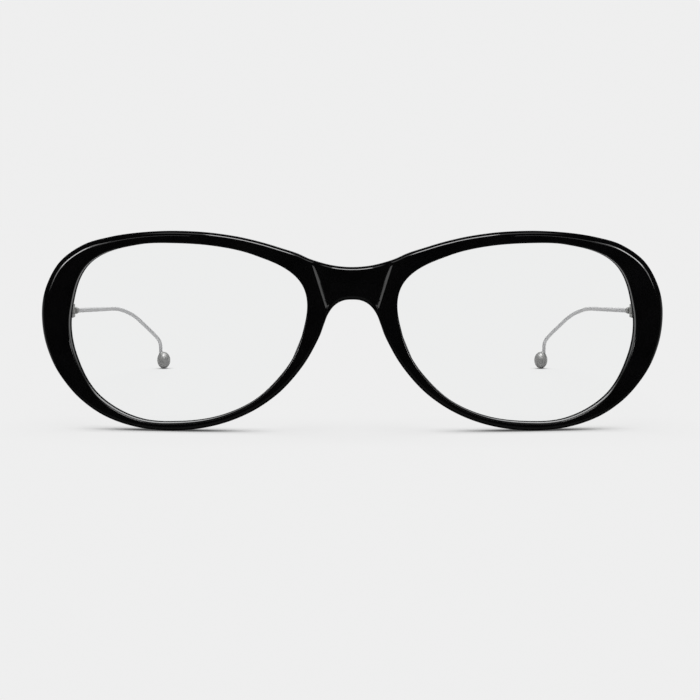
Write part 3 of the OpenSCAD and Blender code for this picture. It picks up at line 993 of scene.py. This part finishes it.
@dataclass
class NosePad:
    """A rounded pad behind the rim beside the nose."""

    front: Front
    depth: float = 5.2
    round_r: float = 1.1
    height: float = 9.0
    down: float = 2.3
    """How far the pad's middle lies below the opening's."""
    lean: float = 0.45
    """How far the back of the pad leans away from the nose."""
    side_share: float = 0.43
    """Where across the rim the pad stands."""
    tip_share: float = 0.72
    """Height of the pad's back, as a share of its foot's."""
    gap: float = 0.05
    """Clearance between the pad and the front."""
    ease: float = 0.8
    """Millimetres over which one ball of the pad gives way to the next."""
    balls: int = 5
    steps: int = 96
    around: int = 120

    def beside_nose(self, z: np.ndarray) -> np.ndarray:
        """Where a pad's middle lies on the rim.

        Args:
            z: (n,) heights above the opening's middle.

        Returns:
            (n, 2) points x, z.
        """
        f = self.front
        angle = np.degrees(np.arcsin(z / (f.eye_h / 2)))
        return f.opening(angle) + self.side_share * f.rim_nose * f.opening_out(angle)

    def build(self, shop: Shop, side: Side) -> bpy.types.Object:
        """The hull of two rows of balls with crowned sides, cut flat where it meets the front.

        For each direction the surface is a mean of the balls' centres, plus a ball's radius
        along the direction. A centre's weight in the mean is exp(d / ease), where d is how
        far it lies that way, so the furthest counts most.

        Args:
            shop: what makes the object.
            side: where it goes.

        Returns:
            The pad.
        """
        f = self.front
        heights = np.linspace(-1, 1, self.balls) * self.height / 2
        foot = self.beside_nose(heights[:1] - self.down)[0]
        seat = float(f.wrap(foot[0] + self.round_r)) + f.thick + self.gap
        base = self.beside_nose(heights - self.down)
        tip = self.beside_nose(heights * self.tip_share - self.down) + [self.lean, 0]
        depths = np.repeat([seat, seat + self.depth - self.round_r], self.balls)
        plan = np.concatenate([base, tip])
        centres = np.stack([plan[:, 0], depths, plan[:, 1]], 1)
        ways = sphere(self.steps, self.around)[..., [0, 2, 1]]
        reach = ways @ centres.T
        weight = np.exp((reach - reach.max(2, keepdims=True)) / self.ease)
        points = weight @ centres / weight.sum(2, keepdims=True) + self.round_r * ways
        points[..., 1] = np.maximum(points[..., 1], seat)
        faces = grid_faces(self.around, self.steps + 1, True, False)
        thing = shop.piece("pad_" + side.word, points, faces, side, sharp=40)
        return declare(thing, "nose_pad_" + side.word, Body.FRONT, Slot.PAD, SatinAcetate())


# --- hinges and temples ----------------------------------------------------------------------


@dataclass
class Hardware:
    """The small metal pieces: each is the exact solid with its edges broken."""

    edge: float = 0.06
    """Width in millimetres of the broken edges."""
    gap: float = 1e-7
    """Distance in metres within which points are one."""
    flat: float = 1.0
    soft: float = 30.0
    broken: float = 40.0
    """Degrees: edges that turn by less than flat go, edges that turn by more than soft show, and
    edges that turn by more than broken are broken."""
    segments: int = 2

    def build(self, frame: dict, node: str, body: Body, slot: Slot) -> bpy.types.Object:
        """Copies a node's shape, merges its flat faces, and bevels the edges between them.

        Args:
            frame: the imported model.
            node: the solid.
            body: what it moves with.
            slot: the record's material slot.

        Returns:
            The finished piece.
        """
        mesh = frame["nodes"][node].data.copy()
        mesh.materials.clear()
        work = bmesh.new()
        work.from_mesh(mesh)
        bmesh.ops.remove_doubles(work, verts=work.verts, dist=self.gap)
        bmesh.ops.dissolve_limit(
            work, angle_limit=math.radians(self.flat), verts=work.verts, edges=work.edges
        )
        work.to_mesh(mesh)
        work.free()
        for layer in list(mesh.attributes):
            if layer.name == "custom_normal":
                mesh.attributes.remove(layer)
        mesh.polygons.foreach_set("use_smooth", np.ones(len(mesh.polygons), dtype=bool))
        mesh.set_sharp_from_angle(angle=math.radians(self.soft))
        thing = new_object(node + "_finished", mesh)
        bevel = thing.modifiers.new("broken edges", "BEVEL")
        bevel.width = self.edge * MM
        bevel.segments = self.segments
        bevel.limit_method = "ANGLE"
        bevel.angle_limit = math.radians(self.broken)
        bevel.harden_normals = True
        finish = TurnedScrew() if slot is Slot.SCREW else MachinedNickel()
        return declare(thing, node, body, slot, finish)

    def build_side(self, frame: dict, side: Side) -> list[bpy.types.Object]:
        """The hinge of one side, with its plate and its screws.

        Args:
            frame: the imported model.
            side: which hinge.

        Returns:
            The five pieces.
        """
        pieces = (
            ("hinge_plate_", Body.FRONT, Slot.HINGE),
            ("plate_screw_upper_", Body.FRONT, Slot.SCREW),
            ("plate_screw_lower_", Body.FRONT, Slot.SCREW),
            ("hinge_screw_", Body.FRONT, Slot.SCREW),
            ("temple_hinge_", Body.temple(side), Slot.HINGE),
        )
        return [self.build(frame, name + side.word, body, slot) for name, body, slot in pieces]


@dataclass
class Temple:
    """A wire temple: the straight run, the bend down behind the ear, and the bead."""

    front: Front
    hinge_side: float = 1.4
    hinge_up: float = 4.6
    hinge_out: float = 2.9
    """Where the hinge's middle lies from the opening's outer end and the front's back."""
    barrel_r: float = 1.45
    wire_in: float = 0.9
    """How far the wire runs inwards of the hinge's axis."""
    wire_r: float = 0.55
    straight: float = 80.0
    spread: float = 3.8
    """Length of the straight run, and how far it runs outwards."""
    run_knots: tuple[float, ...] = (0.5, 0.85, 1.0)
    """Where the curve's knots lie along the straight run, after the one in the sleeve."""
    sleeve_off: float = 0.35
    sleeve_end: float = 0.6
    """How far the sleeve starts from the barrel, and the wire inside the sleeve."""
    bead_r: float = 2.1
    bead_h: float = 5.4
    bead_in: float = 0.95
    bead_stop: float = 0.6
    """How far the bead's axis lies inwards of the wire's end, and the end above its middle."""
    collar_r: float = 0.22
    collar_w: float = 0.2
    """Height of the bead's collar, and how wide it falls off."""
    sides: int = 24
    per_knot: int = 10
    uv_length: float = 10.0
    """Millimetres of wire to a unit of its UV map."""
    bead_steps: int = 64
    bead_around: int = 72
    bend: tuple[Triple, ...] = (
        (-0.1, 10, -0.8), (-0.6, 18, -1.9), (-1.4, 24.5, -3.2), (-2.3, 30.5, -4.9),
        (-3.3, 36, -7.0), (-4.5, 41, -9.2), (-5.7, 45.5, -11.4), (-6.5, 48.6, -13.3),
        (-6.7, 50.1, -15.2), (-6.7, 50.3, -17.2), (-6.7, 50.3, -19.1),
    )  # fmt: skip
    """Steps from the end of the straight run to points along the bend."""

    @property
    def hinge(self) -> np.ndarray:
        """The middle of the hinge, on its axis.

        Returns:
            A point x, y, z.
        """
        f = self.front
        x = f.eye_x + f.eye_w / 2 + self.hinge_side
        return np.array([x, float(f.wrap(x)) + f.thick + self.hinge_out, f.eye_z + self.hinge_up])

    @property
    def run(self) -> np.ndarray:
        """The straight run as one step: it falls until the bead rests level with the rims."""
        fall = self.hinge[2] + self.bend[-1][2] - self.bead_stop - self.bead_h / 2
        return np.array([self.spread, self.straight, -fall])

    @property
    def start(self) -> np.ndarray:
        """Where the straight run would meet the hinge's middle plane."""
        return self.hinge - [self.wire_in, 0, 0]

    @property
    def end(self) -> np.ndarray:
        """Where the wire ends inside the bead."""
        return self.start + self.run + np.array(self.bend[-1])

    @property
    def bead(self) -> np.ndarray:
        """The middle of the bead."""
        return np.array([self.end[0] - self.bead_in, self.end[1], self.bead_h / 2])

    def path(self) -> np.ndarray:
        """Points along the wire: a smooth curve through the knots of the run and of the bend.

        Returns:
            (n, 3) points.
        """
        first = (self.barrel_r + self.sleeve_off + self.sleeve_end) / self.straight
        straight = [self.start + self.run * share for share in (first, *self.run_knots)]
        knots = np.concatenate([straight, self.start + self.run + np.array(self.bend)])
        ring = np.concatenate([[2 * knots[0] - knots[1]], knots, [2 * knots[-1] - knots[-2]]])
        t = np.linspace(0, len(knots) - 1, (len(knots) - 1) * self.per_knot + 1)
        return spline(ring, t)

    def tube(self, path: np.ndarray) -> tuple[np.ndarray, np.ndarray, np.ndarray]:
        """A round tube along a path, with closed ends.

        At each point the ring is r (cos a u + sin a v), where u is +X made square to the
        path's heading and v is square to both.

        Args:
            path: (n, 3) points.

        Returns:
            Points, faces, and the place of each point along and round the tube.
        """
        heading = unit(np.gradient(path, axis=0))
        u = unit(np.array([1.0, 0, 0]) - heading * heading[:, :1])
        v = np.cross(heading, u)
        a = np.radians(np.arange(self.sides) * 360.0 / self.sides)
        ring = np.cos(a)[None, :, None] * u[:, None] + np.sin(a)[None, :, None] * v[:, None]
        walls = path[:, None] + self.wire_r * ring
        caps = np.repeat(path[[0, -1], None], self.sides, axis=1)
        points = np.concatenate([caps[:1], walls, caps[1:]])
        length = np.concatenate([[0], np.cumsum(np.linalg.norm(np.diff(path, axis=0), axis=1))])
        along = np.concatenate([length[:1], length, length[-1:]])[:, None] / self.uv_length
        around = np.broadcast_to(a / math.tau, (len(points), self.sides))
        uv = np.stack([np.broadcast_to(along, around.shape), around], 2)
        faces = grid_faces(len(points), self.sides, False, True)
        return points, faces, uv.reshape(-1, 2)

    def build_wire(self, shop: Shop, side: Side) -> bpy.types.Object:
        """The wire, from inside its sleeve to inside its bead.

        Args:
            shop: what makes the object.
            side: where it goes.

        Returns:
            The wire.
        """
        points, faces, uv = self.tube(self.path())
        thing = shop.piece("wire_" + side.word, points, faces, side, uv)
        node = "temple_wire_" + side.word
        return declare(thing, node, Body.temple(side), Slot.WIRE, DrawnSteel())

    def build_bead(self, shop: Shop, side: Side) -> bpy.types.Object:
        """A ball stretched to the bead's radius and height, with a collar at the wire.

        Where the bead is near the wire it is raised by the collar's height, which falls off as
        exp(-(d / width)^2) with the distance d from the wire's side.

        Args:
            shop: what makes the object.
            side: where it goes.

        Returns:
            The bead.
        """
        ball = sphere(self.bead_steps, self.bead_around)
        egg = ball * [self.bead_r, self.bead_r, self.bead_h / 2]
        off = np.maximum(np.hypot(egg[..., 0] - self.bead_in, egg[..., 1]) - self.wire_r, 0)
        collar = self.collar_r * np.exp(-((off / self.collar_w) ** 2))
        egg[..., 2] += smooth(0.0, 1.0, egg[..., 2]) * collar
        faces = grid_faces(self.bead_around, self.bead_steps + 1, True, False)
        thing = shop.piece("bead_" + side.word, egg + self.bead, faces, side, sharp=60)
        node = "temple_tip_" + side.word
        return declare(thing, node, Body.temple(side), Slot.TIP, PolishedSteel())


# --- the studio ------------------------------------------------------------------------------


@dataclass(frozen=True)
class Softbox:
    """A lamp that shows only as a reflection."""

    name: str
    azimuth: float
    """Degrees to the wearer's left of straight ahead of the glasses."""
    elevation: float
    width: float
    height: float
    """Size in degrees, as the glasses see it."""
    level: float
    """Brightness, where 1 is white."""
    roll: float = 0.0
    """Degrees that the box is turned about the line of sight."""
    lights: Lit = Lit.POLISHED
    distance: float = 1.0
    aim: Triple = (0.0, -0.07, 0.03)
    """The point that it faces, near the bridge."""

    def build(self) -> None:
        """An area lamp. Its power is level times pi times its area."""
        lamp = bpy.data.lights.new(self.name, "AREA")
        lamp.shape = "RECTANGLE"
        lamp.size = 2 * self.distance * math.tan(math.radians(self.width / 2))
        lamp.size_y = 2 * self.distance * math.tan(math.radians(self.height / 2))
        lamp.energy = self.level * math.pi * lamp.size * lamp.size_y
        thing = new_object(self.name, lamp)
        a, e = math.radians(self.azimuth), math.radians(self.elevation)
        thing.location = (
            self.aim[0] + self.distance * math.sin(a) * math.cos(e),
            self.aim[1] - self.distance * math.cos(a) * math.cos(e),
            self.aim[2] + self.distance * math.sin(e),
        )
        turns = ((a, "Z"), (math.radians(90) - e, "X"), (math.radians(self.roll), "Z"))
        facing = Matrix.Identity(3)
        for angle, axis in turns:
            facing = facing @ Matrix.Rotation(angle, 3, axis)
        thing.rotation_euler = facing.to_euler()
        thing.visible_camera = False
        thing.visible_diffuse = False
        thing.visible_transmission = False
        thing.light_linking.receiver_collection = self.lights.collection()


@dataclass(frozen=True)
class Glow:
    """A patch of the room that only shiny surfaces see, with smooth edges."""

    level: float
    """Brightness, where 1 is white."""
    edges: tuple[tuple[str, float, float], ...]
    """Each edge's axis, and where on it the patch is dark and where it is lit. The axes are those
    of the direction in which the surface looks, and W is the size of X."""

    def build(
        self, tree: bpy.types.NodeTree, axes: dict[str, bpy.types.NodeSocket]
    ) -> bpy.types.NodeSocket:
        """The product of the level and a smooth step for each edge.

        Args:
            tree: where the nodes go.
            axes: each axis's value.

        Returns:
            The patch's brightness for each direction.
        """
        total: bpy.types.NodeSocket | float = self.level
        for axis, dark, lit in self.edges:
            limits = {"From Min": min(dark, lit), "From Max": max(dark, lit)}
            limits |= {"To Min": float(dark > lit), "To Max": float(dark < lit)}
            step = add_node(tree, "MapRange", {"Value": axes[axis]} | limits)
            step.interpolation_type = "SMOOTHSTEP"
            total = add_math(tree, "MULTIPLY", step.outputs["Result"], total)
        return total


@dataclass(frozen=True)
class Studio:
    """Camera, pale ground, even light and the softboxes that draw the edges."""

    camera_at: Triple = (0.0, -0.39275, 0.0471)
    pitch: float = 5.07
    """Degrees that the camera is tilted down."""
    focal_px: float = 1435.0
    picture_px: float = 700.0
    middle_px: float = 352.3
    """Focal length, the photograph's width, and the column of the glasses' middle, in pixels."""
    sensor: float = 36.0
    clip: float = 0.01
    floor_half: float = 12.0
    floor_down: float = 0.00002
    """Half the floor's width, and how far it lies below the rims, in metres."""
    sun: float = 0.8
    sun_angle: float = 60.0
    """Share of the light on matt surfaces that comes from above, and how wide it is."""
    dark: float = 0.02
    """Brightness of the room outside its patches."""
    backdrop: Glow = Glow(
        1.2, (("W", 0.22, 0.12), ("Y", 0.55, 0.75), ("Z", 0.05, 0.13), ("Z", 0.34, 0.24))
    )
    ground_behind: Glow = Glow(0.35, (("Y", -0.3, 0.3), ("Z", 0.12, 0.02), ("Z", -0.42, -0.24)))
    ceiling: Glow = Glow(
        1.8, (("W", 0.42, 0.30), ("Y", -0.15, -0.28), ("Z", 0.76, 0.82), ("Z", 0.95, 0.90))
    )
    ground_near: Glow = Glow(0.12, (("Y", 0.0, -0.3), ("Z", -0.35, -0.6)))
    softboxes: tuple[Softbox, ...] = (
        Softbox("softbox_above", 0, 61, 13, 18, 12.0),
        Softbox("softbox_above_soft", 0, 61, 21, 18, 12.0),
        Softbox("softbox_corner_left", 43.5, 10.5, 10, 9, 18.0, -45),
        Softbox("softbox_corner_right", -43.5, 10.5, 10, 9, 18.0, 45),
        Softbox("softbox_corner_soft_left", 43.5, 10.5, 19, 9, 5.0, -45),
        Softbox("softbox_corner_soft_right", -43.5, 10.5, 19, 9, 5.0, 45),
        Softbox("softbox_side_left", 30, 7.4, 20, 3.5, 2.2, 2.5),
        Softbox("softbox_side_right", -30, 7.4, 20, 3.5, 2.2, -2.5),
        Softbox("softbox_metal", 0, 75, 50, 50, 1.9, lights=Lit.METAL),
    )

    def build_camera(self) -> None:
        """A camera 320 mm in front of the bridge, tilted down. The shift is the photograph's."""
        lens = bpy.data.cameras.new("camera")
        lens.sensor_width = self.sensor
        lens.lens = self.focal_px / self.picture_px * self.sensor
        lens.shift_x = (self.picture_px / 2 - self.middle_px) / self.picture_px
        lens.clip_start = self.clip
        thing = new_object("camera", lens)
        thing.location = self.camera_at
        thing.rotation_euler = (math.radians(90 - self.pitch), 0, 0)
        bpy.context.scene.camera = thing

    def build_floor(self) -> None:
        """The sheet under the glasses. Reflections see the studio's own ground instead."""
        h = self.floor_half
        mesh = bpy.data.meshes.new("floor")
        mesh.from_pydata([(-h, -h, 0), (h, -h, 0), (h, h, 0), (-h, h, 0)], [], [(0, 1, 2, 3)])
        mesh.materials.append(Paper().material())
        thing = new_object("floor", mesh)
        thing.location = (0, 0, -self.floor_down)
        thing.visible_glossy = False

    def build_world(self) -> None:
        """Even light on matt surfaces, the pale ground behind, and a dim room for reflections."""
        world = bpy.data.worlds.new("studio")
        world.use_nodes = True
        tree = world.node_tree
        tree.nodes.clear()
        path = add_node(tree, "LightPath").outputs
        white = (1.0, 1.0, 1.0, 1.0)
        ground = (GROUND, GROUND, GROUND, 1.0)
        matt = add_node(tree, "Background", {"Color": white, "Strength": 1.0 - self.sun})
        seen = add_node(tree, "Background", {"Color": ground})
        shiny = add_node(tree, "Background", {"Color": white, "Strength": self.room(tree)})
        shows = add_math(tree, "MAXIMUM", path["Is Camera Ray"], path["Is Transmission Ray"])
        inputs = {"Fac": shows, 1: matt.outputs["Background"], 2: seen.outputs["Background"]}
        plain = add_node(tree, "MixShader", inputs).outputs["Shader"]
        inputs = {"Fac": path["Is Glossy Ray"], 1: plain, 2: shiny.outputs["Background"]}
        mix = add_node(tree, "MixShader", inputs)
        add_node(tree, "OutputWorld", {"Surface": mix.outputs["Shader"]})
        bpy.context.scene.world = world

    def room(self, tree: bpy.types.NodeTree) -> bpy.types.NodeSocket:
        """What shiny surfaces see: the sum of the room's patches and its darkness.

        There are a lit backdrop low behind the glasses, the ground under it and in front, and
        a faint strip of ceiling beside the softbox above.

        Args:
            tree: where the nodes go.

        Returns:
            A brightness for each direction.
        """
        place = add_node(tree, "TexCoord").outputs["Generated"]
        axes = dict(add_node(tree, "SeparateXYZ", {"Vector": place}).outputs.items())
        axes["W"] = add_math(tree, "ABSOLUTE", axes["X"])
        total: bpy.types.NodeSocket | float = self.dark
        for glow in (self.backdrop, self.ground_behind, self.ceiling, self.ground_near):
            total = add_math(tree, "ADD", glow.build(tree, axes), total)
        return total

    def build_sun(self) -> None:
        """A soft light from straight above that gives the rims their shadow on the ground."""
        lamp = bpy.data.lights.new("overhead", "SUN")
        lamp.energy = self.sun * math.pi
        lamp.angle = math.radians(self.sun_angle)
        thing = new_object("overhead", lamp)
        thing.location = (0, 0, 1)
        thing.visible_glossy = False
        thing.visible_camera = False

    def build(self) -> None:
        """Everything that isn't part of the glasses."""
        self.build_camera()
        self.build_floor()
        self.build_world()
        self.build_sun()
        for softbox in self.softboxes:
            softbox.build()
        bpy.context.scene.view_settings.view_transform = "Standard"


def main() -> None:
    """Builds the pieces in order."""
    logging.basicConfig(level=logging.INFO, format="%(message)s")
    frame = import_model()
    front, hardware = Front(), Hardware()
    lens, pad, temple = Lens(front), NosePad(front), Temple(front)
    low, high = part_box("temple_tip_left")
    shop = Shop(shift_y=(low.y + high.y) / 2 / MM - float(temple.bead[1]))
    pieces = [front.build(shop)]
    for side in Side:
        pieces += [lens.build(shop, side), pad.build(shop, side)]
        pieces += hardware.build_side(frame, side)
        pieces += [temple.build_wire(shop, side), temple.build_bead(shop, side)]
    for thing in pieces:
        log.info("%s: %d faces", thing.name, len(thing.data.polygons))
    Studio().build()
    bpy.context.view_layer.update()


if __name__ == "__main__":
    main()
